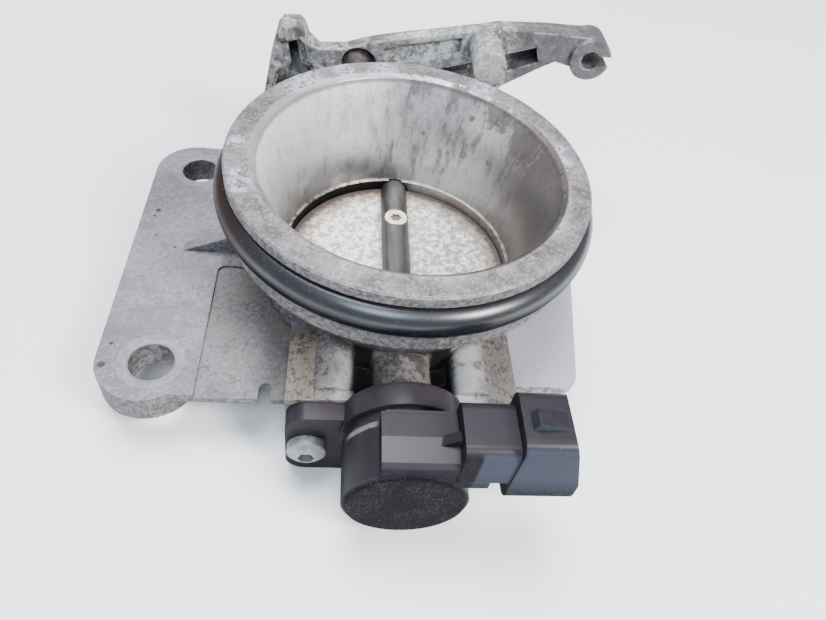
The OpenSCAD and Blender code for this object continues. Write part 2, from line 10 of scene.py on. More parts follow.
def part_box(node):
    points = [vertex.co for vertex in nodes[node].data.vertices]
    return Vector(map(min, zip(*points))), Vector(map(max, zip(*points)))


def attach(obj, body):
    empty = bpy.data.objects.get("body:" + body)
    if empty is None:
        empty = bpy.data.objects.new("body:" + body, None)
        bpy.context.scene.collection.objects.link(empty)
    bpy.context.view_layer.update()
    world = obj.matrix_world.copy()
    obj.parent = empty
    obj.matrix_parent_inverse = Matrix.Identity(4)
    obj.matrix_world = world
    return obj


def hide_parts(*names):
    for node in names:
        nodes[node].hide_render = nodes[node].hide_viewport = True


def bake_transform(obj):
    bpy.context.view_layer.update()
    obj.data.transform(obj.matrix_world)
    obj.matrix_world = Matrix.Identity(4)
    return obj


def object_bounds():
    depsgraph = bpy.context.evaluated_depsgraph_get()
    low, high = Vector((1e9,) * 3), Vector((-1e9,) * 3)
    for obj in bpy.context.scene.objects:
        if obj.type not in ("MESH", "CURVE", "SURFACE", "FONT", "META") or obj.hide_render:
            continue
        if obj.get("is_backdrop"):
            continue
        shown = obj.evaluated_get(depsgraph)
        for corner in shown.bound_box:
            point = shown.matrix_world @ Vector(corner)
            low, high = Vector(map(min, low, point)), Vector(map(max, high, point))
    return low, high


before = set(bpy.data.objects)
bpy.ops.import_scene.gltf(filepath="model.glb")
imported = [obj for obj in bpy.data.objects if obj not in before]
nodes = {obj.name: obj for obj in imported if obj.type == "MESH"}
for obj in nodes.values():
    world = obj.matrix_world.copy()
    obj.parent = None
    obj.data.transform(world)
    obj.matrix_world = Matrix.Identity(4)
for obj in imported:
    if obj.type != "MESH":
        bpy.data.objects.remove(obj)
cad_low, cad_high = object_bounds()

# ------------------------------------------------------------------ camera
# A wide lens held above the sensor, looking down into the air inlet.

camera = bpy.data.objects.new("camera", bpy.data.cameras.new("camera"))
bpy.context.scene.collection.objects.link(camera)
right = (0.990148, -0.043772, 0.133009)
up = (-0.052029, 0.766877, 0.639682)
back = (-0.130002, -0.640300, 0.757044)
at = (-0.018262, -0.127385, 0.139846)
camera.matrix_world = Matrix(
    [[right[i], up[i], back[i], at[i]] for i in range(3)] + [[0, 0, 0, 1]]
)
camera.data.sensor_width = 36
camera.data.lens = 28.393
camera.data.clip_start = 0.005
bpy.context.scene.camera = camera

# ------------------------------------------------------------------ body casting
# The body is an aluminium casting. Its bell, bore, rim and mounting faces are machined, the rest
# is as cast, and all of it has gone grey and stained in the engine bay.


class Socket:
    """A shader socket that does sums: an expression on sockets adds the Math nodes for it."""

    def __init__(self, tree, output):
        self.tree = tree
        self.output = output

    def node(self, kind, settings=None, sockets=None, output=0):
        """Adds a node: its type, its settings, then the values or links of its sockets."""
        made = self.tree.nodes.new("ShaderNode" + kind)
        for name, value in (settings or {}).items():
            setattr(made, name, value)
        for name, value in (sockets or {}).items():
            if isinstance(value, Socket):
                self.tree.links.new(value.output, made.inputs[name])
            else:
                made.inputs[name].default_value = value
        return Socket(self.tree, made.outputs[output])

    def math(self, operation, other=0.0, swap=False):
        """One Math node; swap puts self second."""
        a, b = (other, self) if swap else (self, other)
        return self.node("Math", {"operation": operation}, {0: a, 1: b})

    def __add__(self, other):
        return self.math("ADD", other)

    def __sub__(self, other):
        return self.math("SUBTRACT", other)

    def __mul__(self, other):
        return self.math("MULTIPLY", other)

    def __truediv__(self, other):
        return self.math("DIVIDE", other)

    def __pow__(self, other):
        return self.math("POWER", other)

    def __abs__(self):
        return self.math("ABSOLUTE")

    def __rsub__(self, other):
        return self.math("SUBTRACT", other, swap=True)

    __radd__ = __add__
    __rmul__ = __mul__

    def ramp(self, low, high):
        """0 below low and 1 above high, or the other way round, with a soft change between."""
        sockets = {0: self, 1: low, 2: high}
        return self.node("MapRange", {"interpolation_type": "SMOOTHSTEP"}, sockets)

    def noise(self, size, detail=3.0, roughness=0.6, stretch=(1, 1, 1), shift=0.0):
        """Grain whose lumps are about size millimetres wide; self is the place on the piece."""
        offset = (shift, shift * 1.7, shift * 0.6)
        place = self.node("Mapping", {}, {0: self, 1: offset, 3: stretch})
        return self.node("TexNoise", {}, {0: place, 2: 1.0 / size, 3: detail, 4: roughness})

    def along(self, axis):
        """The place's x, y or z."""
        return self.node("SeparateXYZ", {}, {0: self}, output="xyz".index(axis))

    def distance(self, at):
        """How far the place is from another, in millimetres."""
        return self.node("VectorMath", {"operation": "DISTANCE"}, {0: self, 1: at}, output=1)

    def near(self, at, radius, ragged=None):
        """1 at a place in millimetres, fading out at the radius, ragged by a grain if given."""
        raggedness = 4.5
        core = 0.45
        gap = self.distance(at)
        if ragged is not None:
            gap = gap + (ragged - 0.5) * radius * raggedness
        return gap.ramp(radius, radius * core)

    def spots(self, spots, ragged=None):
        """The same for a list of spots, each the three numbers of its place and its radius."""
        marks = [self.near(at, radius, ragged) for *at, radius in spots]
        mask = marks[0]
        for mark in marks[1:]:
            mask = mask.math("MAXIMUM", mark)
        return mask

    def between(self, first, second):
        """self is a mask: the first colour where it is 0, and the second where it is 1."""
        sockets = {0: self, 6: (*first, 1), 7: (*second, 1)}
        return self.node("Mix", {"data_type": "RGBA"}, sockets, output=2)

    def tint(self, mask, colour):
        """self is a colour: where the mask is 1 it turns into the other colour."""
        sockets = {0: mask, 6: self, 7: colour if isinstance(colour, Socket) else (*colour, 1)}
        return self.node("Mix", {"data_type": "RGBA"}, sockets, output=2)


millimetre = 0.001


def start_material(name, colour):
    """A new material with its surface node, the place, in millimetres, to draw patterns on, and
    its first colour."""
    material = bpy.data.materials.new(name)
    material.use_nodes = True
    tree = material.node_tree
    surface = tree.nodes["Principled BSDF"]
    place = Socket(tree, tree.nodes.new("ShaderNodeTexCoord").outputs["Object"])
    place = place.node("VectorMath", {"operation": "SCALE"}, {0: place, 3: 1 / millimetre})
    sockets = {0: 0.0, 6: (*colour, 1), 7: (*colour, 1)}
    base = place.node("Mix", {"data_type": "RGBA"}, sockets, output=2)
    return material, surface, place, base


def feed(surface, name, value):
    """Sets one of the surface's sockets to a number, or links it to what varies."""
    if isinstance(value, Socket):
        value.tree.links.new(value.output, surface.inputs[name])
    else:
        surface.inputs[name].default_value = value


def finish_material(surface, colour, rough, metal, height=None, depth=0.1, soft_edge=0.3):
    """Gives the surface its finish. Depth is the relief in millimetres, and soft_edge the radius
    that the light sees on the piece's edges."""
    normal = colour.node("Bevel", {"samples": 4}, {0: soft_edge * millimetre})
    if height is not None:
        relief = {"Strength": 1.0, "Distance": depth * millimetre, "Height": height}
        normal = height.node("Bump", {}, {**relief, "Normal": normal})
    feed(surface, "Base Color", colour)
    feed(surface, "Roughness", rough)
    feed(surface, "Metallic", metal)
    feed(surface, "Normal", normal)


def edge_wear(place, reach=0.4):
    """1 along the piece's sharp edges, 0 elsewhere: how far the rounded normal turns away."""
    rounded = place.node("Bevel", {"samples": 4}, {0: reach * millimetre})
    true = place.node("NewGeometry", output=1)
    same = place.node("VectorMath", {"operation": "DOT_PRODUCT"}, {0: rounded, 1: true}, output=1)
    return same.ramp(0.995, 0.86)


def crevice(place, reach=3.0):
    """1 deep in corners and recesses, 0 on open faces."""
    sockets = {"Distance": reach * millimetre}
    open_sky = place.node("AmbientOcclusion", {"samples": 6, "only_local": True}, sockets, output=1)
    return open_sky.ramp(0.62, 0.2)


def facing(place, direction):
    """How far the surface faces a direction: 1 straight at it, -1 away from it."""
    normal = place.node("NewGeometry", output=1)
    sockets = {0: normal, 1: direction}
    return normal.node("VectorMath", {"operation": "DOT_PRODUCT"}, sockets, output=1)


def dress(node, material):
    """Gives a CAD node its material."""
    piece = nodes[node]
    piece.data.materials.clear()
    piece.data.materials.append(material)


# places on the casting, in millimetres
bore_radius = 31.0
bell_start = 13.7
bell_curve = 161.8
rim_top = 45.0
flange_top = 8.0
pad_edge = -46.8
left_hole_x = -58.8
left_hole_y = 35.7
spot_face_radius = 7.9
seat_from = -28.0
seat_half_width = 28.0
seat_top = 19.0
right_rib, left_rib = 14.5, -14.0
pocket_x = 9.4

material, surface, place, colour = start_material("weathered cast aluminium", (0.165, 0.155, 0.172))
x, y, z = (place.along(axis) for axis in "xyz")
radius = (x * x + y * y) ** 0.5
rise = (z - bell_start).math("MAXIMUM", 0.0)
bell_radius = rise * rise / bell_curve + bore_radius
inside = (bell_radius + 1.4 - radius).ramp(0.0, 0.5) * z.ramp(-0.5, 0.2)
bore_band = inside * z.ramp(bell_start + 0.2, bell_start - 0.2)
rim = z.ramp(rim_top - 0.7, rim_top - 0.3)
pad = z.ramp(flange_top - 0.4, flange_top - 0.2) * z.ramp(flange_top + 0.4, flange_top + 0.2)
pad = pad * x.ramp(pad_edge, pad_edge - 0.6)
seat = y.ramp(seat_from, seat_from - 3.0) * z.ramp(seat_top, seat_top - 3.0)
seat = seat * abs(x).ramp(seat_half_width, seat_half_width - 1.1)

broad = place.noise(26.0, 2.0, 0.5)
patchy = place.noise(7.0, 5.0, 0.65, shift=40.0)
fine = (place.noise(1.4, 5.0, 0.75, shift=90.0) - 0.5) * 1.5 + 0.5
speckle = (place.noise(0.8, 4.0, 0.8, shift=210.0) - 0.5) * 1.5 + 0.5
grain = place.noise(0.55, 2.0, 0.6, shift=150.0)
corner = crevice(place)
worn = edge_wear(place)

# the skin of the casting is mottled grey, with brown road dirt on the left towards the bell
colour = colour.tint(patchy.ramp(0.42, 0.6) * 0.6, (0.22, 0.21, 0.225))
colour = colour.tint(patchy.ramp(0.47, 0.36) * 0.6, (0.1, 0.09, 0.092))
colour = colour.tint(speckle.ramp(0.52, 0.66) * 0.6, (0.33, 0.315, 0.3))
colour = colour.tint(fine.ramp(0.47, 0.36) * 0.55, (0.085, 0.075, 0.07))
field_dirt = (broad * 24.0 - radius).ramp(-47.0, -28.0)
field_dirt = field_dirt * z.ramp(flange_top + 1.5, flange_top - 0.5) * x.ramp(10.0, -20.0)
colour = colour.tint(field_dirt * 0.65 * patchy.ramp(0.36, 0.56), (0.16, 0.118, 0.098))
colour = colour.tint(field_dirt * speckle.ramp(0.54, 0.66) * 0.5, (0.26, 0.225, 0.185))
# the right side above the flange is paler
paler_right_side = x.ramp(24.0, 30.0) * z.ramp(flange_top + 2.0, flange_top + 0.5)
colour = colour.tint(paler_right_side * 0.85, (0.42, 0.425, 0.455))

# the sensor's seat is browner, with rubbed ribs between oily pockets and soot in its middle
seat_brown = x.ramp(-19.0, -21.0) + x.ramp(19.0, 21.5) * 0.5
colour = colour.tint(seat * 0.55, (0.155, 0.145, 0.13))
colour = colour.tint(seat * seat_brown * patchy.ramp(0.3, 0.55) * 0.7, (0.135, 0.105, 0.082))
colour = colour.tint(seat * fine.ramp(0.5, 0.36) * 0.85, (0.05, 0.038, 0.024))
rubbed_right = abs(x - right_rib).ramp(5.5, 1.5)
rubbed_left = abs(x - left_rib).ramp(3.5, 0.5) * 0.35
rubbing_and_painted_highlight = rubbed_right.math("MAXIMUM", rubbed_left) * patchy.ramp(0.36, 0.52)
colour = colour.tint(seat * rubbing_and_painted_highlight * 0.9, (0.68, 0.67, 0.65))
colour = colour.tint(seat * speckle.ramp(0.54, 0.66) * 0.3, (0.32, 0.3, 0.27))
soot = seat * abs(x).ramp(9.0, 7.5) * z.ramp(11.0, 17.0)
colour = colour.tint(soot * patchy.ramp(0.56, 0.42) * 0.85, (0.04, 0.03, 0.021))
oily = seat * abs(abs(x) - pocket_x).ramp(3.4, 1.8)
colour = colour.tint(oily * patchy.ramp(0.0, 0.4), (0.008, 0.006, 0.005))

# the machined pad between the left bolts is smooth, with a faint mauve cast, spot faces and pits
pad_colour = broad.ramp(0.35, 0.65).between((0.15, 0.139, 0.155), (0.215, 0.205, 0.23))
pad_colour = pad_colour.tint(speckle.ramp(0.53, 0.68) * 0.5, (0.36, 0.35, 0.37))
pad_colour = pad_colour.tint(speckle.ramp(0.46, 0.34) * 0.45, (0.1, 0.092, 0.1))
for side in (-1, 1):
    from_hole = place.distance((left_hole_x, side * left_hole_y, flange_top))
    ring = abs(from_hole - spot_face_radius + patchy * 0.9).ramp(0.35, 0.0) * 0.7
    disc = from_hole.ramp(spot_face_radius - 0.1, spot_face_radius - 1.3) * 0.4
    spot_face = ring.math("MAXIMUM", disc) * patchy.ramp(0.3, 0.5)
    pad_colour = pad_colour.tint(spot_face * 0.75, (0.33, 0.325, 0.345))
pad_colour = pad_colour.tint(patchy.ramp(0.5, 0.62) * 0.5, (0.135, 0.12, 0.125))
pits = pad * place.spots([
    (-67.4, 16.4, flange_top, 0.9), (-67.9, 14.0, flange_top, 0.45),
    (-68.8, -31.1, flange_top, 0.5), (-69.6, -37.2, flange_top, 1.1),
    (-60.3, 2.0, flange_top, 0.4), (-66.0, 6.3, flange_top, 0.35),
])
colour = colour.tint(pad, pad_colour)
colour = colour.tint(pits, (0.05, 0.035, 0.04))

# the rim's top is dull grey, with a paler inner edge, three scratches and white bloom in places
rim_colour = patchy.ramp(0.35, 0.65).between((0.1, 0.085, 0.09), (0.22, 0.2, 0.21))
rim_colour = rim_colour.tint(fine.ramp(0.47, 0.34) * 0.45, (0.1, 0.088, 0.09))
inner_edge = radius.ramp(40.2, 38.0) * fine.ramp(0.4, 0.6)
rim_colour = rim_colour.tint(inner_edge * 0.6, (0.33, 0.31, 0.315))
rim_colour = rim_colour.tint((radius + patchy * 1.2).ramp(38.4, 38.0) * 0.7, (0.42, 0.41, 0.42))
rim_colour = rim_colour.tint(speckle.ramp(0.54, 0.64) * 0.5, (0.38, 0.37, 0.385))
scratches = [(62, (28.0, -27.0), 9.0), (-8, (-38.5, -14.0), 12.0), (24, (-33.0, -23.0), 6.0)]
for turn, middle, reach in scratches:
    turn = math.radians(turn)
    across = (x - middle[0]) * math.cos(turn) + (y - middle[1]) * math.sin(turn)
    scratch = abs(across + patchy * 0.8 - 0.4).ramp(0.3, 0.05)
    scratch = scratch * place.near((*middle, rim_top), reach)
    rim_colour = rim_colour.tint(scratch * 0.7, (0.075, 0.066, 0.068))
bloom_spots = [
    (-41.3, 1.0, rim_top, 3.3), (-38.9, -13.4, rim_top, 4.5), (-40.2, -9.8, rim_top, 2.7),
    (-26.5, 30.6, rim_top, 6.9), (-30.6, 26.2, rim_top, 3.9), (-17.5, 37.4, rim_top, 5.1),
    (-6.2, 40.3, rim_top, 6.0), (21.5, 35.1, rim_top, 5.4), (39.0, 4.0, rim_top, 3.9),
    (-15.4, -36.9, rim_top, 2.4), (31.3, -19.6, rim_top, 5.1), (38.0, 9.5, rim_top, 3.0),
]
bloom = place.spots(bloom_spots, patchy * 0.5 + fine * 0.5)
rim_colour = rim_colour.tint(bloom * fine.ramp(0.36, 0.58) * 0.9, (0.46, 0.475, 0.53))
colour = colour.tint(rim, rim_colour)

# the bell is satin metal with a painted reflection at the back left and a painted glint above
# it, a brown patch and drips at its far right, and a right side darkened by stain and painted shade
streaks = place.noise(3.2, 4.0, 0.7, stretch=(1, 1, 0.18), shift=12.0)
bell_colour = streaks.ramp(0.38, 0.6).between((0.5, 0.495, 0.505), (0.78, 0.78, 0.8))
low_left = (x * -0.4 - z * 1.1 + streaks * 6.0).ramp(-33.0, -8.0) * x.ramp(9.0, -8.0)
bell_colour = bell_colour.tint(low_left * 0.85, (0.12, 0.115, 0.115))
# a painted reflection lightens the back left of the bell to near white
painted_reflection = (x * -0.8 + y * 0.5 + streaks * 10.0).ramp(20.0, 31.0) * z.ramp(18.0, 29.0)
bell_colour = bell_colour.tint(painted_reflection * (1 - low_left * 0.7), (0.97, 0.985, 1.0))
# a painted glint high on the back wall of the bell
painted_glint = place.near((-10.0, 33.0, 36.0), 9.0, streaks)
bell_colour = bell_colour.tint(painted_glint * 0.7, (0.86, 0.88, 0.9))
bell_colour = bell_colour.tint(speckle.ramp(0.54, 0.64) * 0.35, (0.16, 0.15, 0.15))
dark_streaks = streaks.ramp(0.48, 0.38) * (1 - painted_reflection * 0.7)
bell_colour = bell_colour.tint(dark_streaks * 0.5, (0.14, 0.132, 0.132))
bell_lip = z.ramp(rim_top - 2.4, rim_top - 1.4)
bell_colour = bell_colour.tint(bell_lip * 0.75, (0.2, 0.19, 0.2))
bell_colour = bell_colour.tint(patchy.ramp(0.5, 0.64) * 0.3, (0.62, 0.62, 0.64))
# the right side is darker and browner: partly stain, partly painted shade
stain_and_painted_shade_right = (x * 0.92 - y * 0.38).ramp(10.0, 28.0)
bell_colour = bell_colour.tint(stain_and_painted_shade_right * 0.7, (0.15, 0.128, 0.12))
stain_spots = [
    (31.4, 15.7, 39.4, 8.5), (35.2, 6.0, 41.5, 7.0), (25.0, 26.0, 42.5, 6.0),
    (36.0, -4.4, 42.9, 5.0), (16.4, 29.3, 33.9, 1.7), (19.0, 29.2, 38.5, 1.2),
    (6.5, 32.1, 30.5, 1.2), (18.3, 26.6, 28.3, 1.4), (14.0, 28.9, 26.9, 0.9),
    (24.5, 21.5, 29.8, 1.0), (-0.2, 33.9, 35.2, 1.5), (14.4, 34.1, 43.6, 3.0),
    (6.4, 35.7, 42.6, 2.4),
]
stain = inside * place.spots(stain_spots, streaks * 0.6 + fine * 0.4)
colour = colour.tint(inside, bell_colour)
colour = colour.tint(stain * (0.6 + streaks.ramp(0.4, 0.6) * 0.35), (0.085, 0.066, 0.066))
brown_wash = x.ramp(8.0, 34.0) * 0.5 + z.ramp(24.0, 14.0) * 0.35
colour = colour.tint(inside * brown_wash * streaks.ramp(0.3, 0.6), (0.13, 0.105, 0.094))

# the bore below the bell is painted dark on the left as shade, and is light brown on the right,
# partly its brown and partly painted light, under a bright edge
colour = colour.tint(bore_band * x.ramp(16.0, -6.0), (0.016, 0.015, 0.014))
brown_and_painted_light_bore = bore_band * x.ramp(2.0, 16.0) * fine.ramp(0.36, 0.55)
colour = colour.tint(brown_and_painted_light_bore * 0.8, (0.46, 0.4, 0.32))
bore_edge = z.ramp(bell_start - 0.5, bell_start - 0.1) * z.ramp(bell_start + 0.8, bell_start + 0.3)
colour = colour.tint(bore_edge * inside * fine.ramp(0.38, 0.5) * 0.7, (0.6, 0.58, 0.55))

# outside, edges are rubbed bright, upright faces are painted darker as shade, and corners are
# painted black, partly dirt and partly painted shade
outside = 1 - inside
colour = colour.tint(worn * outside * 0.4, (0.42, 0.405, 0.39))
upright_painted_shade = abs(facing(place, (0, 0, 1))).ramp(0.7, 0.2) * outside * (1 - seat)
colour = colour.tint(upright_painted_shade * fine.ramp(0.6, 0.4) * 0.75, (0.07, 0.062, 0.058))
colour = colour.tint(corner * outside * 0.9, (0.022, 0.017, 0.014))

machined = inside.math("MAXIMUM", rim * 0.8).math("MAXIMUM", pad * 0.6)
shine = inside * (0.6 - stain * 0.45 - painted_reflection * 0.35) + 0.3
rough = 0.62 + patchy * 0.22 - machined * 0.28 + stain * 0.2 + bloom * rim * 0.25
rough = rough - inside * (0.14 - streaks * 0.08)
turned_rim = (radius * 9.0).math("SINE") * 0.02 * rim
turned_bell = (z * 14.0).math("SINE") * 0.012 * inside
knocks = fine.ramp(0.36, 0.24) * rim
height = (grain * 0.7 + fine * 0.6) * (1.0 - machined * 0.9) + turned_rim + turned_bell
height = height - pits * 0.8 + bloom * rim * 0.1 - knocks * 0.25
finish_material(surface, colour, rough, shine, height, depth=0.26, soft_edge=0.5)
dress("body_casting", material)

# ------------------------------------------------------------------ inlet seal
# A fat ring of black rubber that stands out of its groove below the rim. It is polished by the
# air duct, and dusted brown on the left.

material, surface, place, colour = start_material("seal rubber", (0.006, 0.007, 0.011))
x = place.along("x")
dust = place.noise(9.0, 4.0, 0.65)
specks = place.noise(0.7, 3.0, 0.7, shift=30.0)
brown = x.ramp(-30.0, -44.0)
colour = colour.tint(brown * (dust * 0.5 + 0.35), (0.032, 0.018, 0.014))
colour = colour.tint(dust.ramp(0.55, 0.7) * 0.3, (0.03, 0.03, 0.034))
colour = colour.tint(specks.ramp(0.6, 0.68) * 0.4, (0.08, 0.078, 0.078))
rough = 0.27 + dust * 0.14 + specks.ramp(0.6, 0.75) * 0.2
finish_material(surface, colour, rough, 0.0, specks * 0.6 + dust, depth=0.05, soft_edge=0.1)
# only a coat shines, and only where the ring looks up
feed(surface, "Specular IOR Level", 0.01)
feed(surface, "Coat Roughness", 0.3)
feed(surface, "Coat IOR", 1.75)
polish = facing(place, (0, 0, 1)).ramp(-0.05, 0.45) * (1 - brown * 0.85) * (1.1 - dust * 0.4)
feed(surface, "Coat Weight", polish)
dress("inlet_seal", material)

# ------------------------------------------------------------------ bearings and shaft seals
# Two sintered bronze bushes are pressed into the body, and a rubber lip seal sits outside each.
# Only their ends can be seen. The ring behind the sensor is moulded in the same rubber.

material, surface, place, colour = start_material("sintered bronze", (0.42, 0.27, 0.12))
pores = place.noise(0.35, 3.0, 0.7)
colour = colour.tint(pores.ramp(0.5, 0.7) * 0.5, (0.2, 0.12, 0.05))
finish_material(surface, colour, 0.42 + pores * 0.2, 0.9, pores, depth=0.03, soft_edge=0.15)
for node in ("front_bearing", "rear_bearing"):
    dress(node, material)

material, surface, place, colour = start_material("moulded seal rubber", (0.02, 0.02, 0.022))
lumps = place.noise(1.2, 3.0, 0.6)
colour = colour.tint(lumps.ramp(0.55, 0.75) * 0.4, (0.07, 0.066, 0.06))
finish_material(surface, colour, 0.55 + lumps * 0.2, 0.0, lumps, depth=0.03, soft_edge=0.15)
for node in ("front_shaft_seal", "rear_shaft_seal", "sensor_seal"):
    dress(node, material)

# ------------------------------------------------------------------ throttle shaft
# A steel bar across the bore, slotted for the plate. It is dull dark grey, with fine marks from
# turning and an oily film.

material, surface, place, colour = start_material("dark turned steel", (0.1, 0.094, 0.092))
film = place.noise(5.0, 4.0, 0.6, stretch=(1, 0.35, 1))
turning = place.noise(0.5, 2.0, 0.5, stretch=(0.2, 3.0, 0.2))
colour = colour.tint(film.ramp(0.4, 0.7) * 0.6, (0.2, 0.19, 0.18))
colour = colour.tint(edge_wear(place, 0.25) * 0.5, (0.4, 0.38, 0.36))
rough = 0.36 + film * 0.2
finish_material(surface, colour, rough, 0.85, turning + film * 0.3, depth=0.012, soft_edge=0.2)
dress("throttle_shaft", material)

# ------------------------------------------------------------------ butterfly plate
# A disc of aluminium sheet that shuts the bore. Fuel vapour has left it pale and blotchy, and
# brown round its edge and beside the shaft.

material, surface, place, colour = start_material("blotchy plate aluminium", (0.56, 0.545, 0.52))
x, y = place.along("x"), place.along("y")
radius = (x * x + y * y) ** 0.5
blotch = place.noise(6.0, 6.0, 0.7)
clouds = (place.noise(1.7, 4.0, 0.7, shift=20.0) - 0.5) * 1.7 + 0.5
freckle = (place.noise(0.6, 3.0, 0.7, shift=70.0) - 0.5) * 1.5 + 0.5
colour = colour.tint(blotch.ramp(0.45, 0.58) * 0.85, (0.78, 0.77, 0.76))
colour = colour.tint(x.ramp(-4.0, -9.0) * 0.5, (0.86, 0.86, 0.86))
colour = colour.tint(x.ramp(5.0, 16.0) * blotch.ramp(0.52, 0.38) * 0.6, (0.36, 0.33, 0.28))
colour = colour.tint(clouds.ramp(0.5, 0.6) * 0.7, (0.25, 0.228, 0.2))
colour = colour.tint(clouds.ramp(0.45, 0.38) * 0.75, (0.93, 0.93, 0.94))
colour = colour.tint(freckle.ramp(0.54, 0.6) * 0.5, (0.2, 0.175, 0.14))
rim_stain = (radius + blotch * 9.0).ramp(27.0, 33.5)
colour = colour.tint(rim_stain * 0.85, (0.2, 0.135, 0.07))
# a painted shadow darkens the very edge, where the plate meets the bore
colour = colour.tint((radius + clouds * 2.0).ramp(28.6, 30.4) * 0.9, (0.06, 0.045, 0.05))
beside_shaft = abs(x).ramp(5.6, 3.9)
colour = colour.tint(beside_shaft * 0.6, (0.16, 0.12, 0.075))
colour = colour.tint(freckle.ramp(0.68, 0.74) * 0.7, (0.12, 0.09, 0.06))
rough = 0.48 + blotch * 0.25
relief = clouds * 0.5 + freckle * 0.4
finish_material(surface, colour, rough, 0.3, relief, depth=0.08, soft_edge=0.15)
dress("butterfly_plate", material)

# ------------------------------------------------------------------ butterfly screws
# Two small yellow zinc screws hold the plate in the shaft. Their heads have a six-lobed socket,
# and each sits in a counterbore.


def deselect():
    bpy.ops.object.select_all(action="DESELECT")


def pick(piece, test):
    """Selects, in edit mode, the faces of the piece whose centre and normal pass the test."""
    sheet = bmesh.from_edit_mesh(piece.data)
    bpy.ops.mesh.select_mode(type="FACE")
    bpy.ops.mesh.select_all(action="DESELECT")
    for face in sheet.faces:
        if test(face.calc_center_median(), face.normal):
            face.select_set(True)
    sheet.select_flush_mode()
    bmesh.update_edit_mesh(piece.data)


def settle(piece, material, smooth_angle=35):
    """Puts a finished piece's place into its mesh, shades it and gives it its material."""
    deselect()
    bpy.context.view_layer.objects.active = piece
    piece.select_set(True)
    bpy.ops.object.transform_apply(location=True, rotation=True, scale=True)
    bpy.ops.object.shade_smooth_by_angle(angle=math.radians(smooth_angle))
    piece.data.materials.clear()
    piece.data.materials.append(material)


def apply_modifier(piece, kind, **settings):
    """Adds a modifier with its settings and applies it."""
    modifier = piece.modifiers.new(kind.lower(), kind)
    for name, value in settings.items():
        setattr(modifier, name, value)
    bpy.context.view_layer.objects.active = piece
    bpy.ops.object.modifier_apply(modifier=modifier.name)


screw_material, surface, place, colour = start_material("yellow zinc", (0.74, 0.66, 0.46))
tarnish = place.noise(1.1, 4.0, 0.65)
colour = colour.tint(tarnish.ramp(0.5, 0.62) * 0.6, (0.88, 0.86, 0.78))
colour = colour.tint(tarnish.ramp(0.42, 0.32) * 0.6, (0.3, 0.22, 0.11))
head_face = 13.2  # in millimetres, as every place in a pattern is; meshes are in metres
# the socket below the head's face is painted dark, as shade
painted_socket_shade = place.along("z").ramp(head_face, head_face - 0.3)
colour = colour.tint(painted_socket_shade * 0.9, (0.05, 0.038, 0.02))
finish_material(surface, colour, 0.4 + tarnish * 0.2, 0.35, tarnish, depth=0.03, soft_edge=0.12)

low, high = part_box("butterfly_screws")
head_radius = (high.x - low.x) / 2
head_top = high.z
head_height = 0.0012
head_middle = head_top - head_height / 2
screw_y = (high.y - low.y) / 2 - head_radius
socket_radius = head_radius * 0.47
lobe_swell = 0.17
lobe_count = 6
socket_depth = 0.0008
shank_inset = head_radius * 0.45
shank_end = low.z - head_top + head_height
head_bevel = 0.00022
deselect()
bpy.ops.mesh.primitive_cylinder_add(
    vertices=48, radius=head_radius, depth=head_height, location=(0, 0, head_middle)
)
screw = bpy.context.object
bpy.ops.object.mode_set(mode="EDIT")
pick(screw, lambda centre, normal: normal.z > 0.9)
for inset in (0.44, 0.06):
    bpy.ops.mesh.inset(thickness=head_radius * inset)
sheet = bmesh.from_edit_mesh(screw.data)
for corner_point in {v for f in sheet.faces if f.select for v in f.verts}:
    turn = math.atan2(corner_point.co.y, corner_point.co.x)
    reach = socket_radius * (1.0 + lobe_swell * math.cos(lobe_count * turn))
    corner_point.co.x = reach * math.cos(turn)
    corner_point.co.y = reach * math.sin(turn)
bmesh.update_edit_mesh(screw.data)
bpy.ops.mesh.extrude_region_move(TRANSFORM_OT_translate={"value": (0, 0, -socket_depth)})
pick(screw, lambda centre, normal: normal.z < -0.9)
bpy.ops.mesh.inset(thickness=shank_inset)
bpy.ops.mesh.extrude_region_move(TRANSFORM_OT_translate={"value": (0, 0, shank_end)})
bpy.ops.object.mode_set(mode="OBJECT")
apply_modifier(
    screw, "BEVEL", width=head_bevel, segments=3, limit_method="ANGLE",
    angle_limit=math.radians(60),
)
for side, name in ((-1, "butterfly_screw_front"), (1, "butterfly_screw_rear")):
    piece = screw.copy()
    piece.data = screw.data.copy()
    piece.name = name
    bpy.context.scene.collection.objects.link(piece)
    piece.location = (0, side * screw_y, head_middle)
    settle(piece, screw_material)
    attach(piece, "throttle")
    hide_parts("butterfly_screws")
bpy.data.objects.remove(screw)

# ------------------------------------------------------------------ position sensor
# A rotary sensor in two black plastic mouldings, clipped together. The front half carries the
# plug's shroud. The plastic is dusty and scuffed, and its edges are rubbed and carry a painted
# bluish highlight; the plug's front and a strip on the drum carry painted light as well.

# places on the sensor, in millimetres
front_face = -71.5
plug_from = 12.0
highlight_line = -58.6

material, surface, place, colour = start_material("moulded sensor plastic", (0.014, 0.0125, 0.017))
x, y, z = (place.along(axis) for axis in "xyz")
dust = place.noise(8.0, 5.0, 0.65)
texture = place.noise(0.45, 3.0, 0.6, shift=15.0)
scuff = place.noise(1.4, 4.0, 0.75, stretch=(1, 1, 0.5), shift=33.0)
colour = colour.tint(dust.ramp(0.42, 0.62) * 0.6, (0.024, 0.0205, 0.0255))
colour = colour.tint(scuff.ramp(0.62, 0.74) * 0.35, (0.06, 0.058, 0.066))
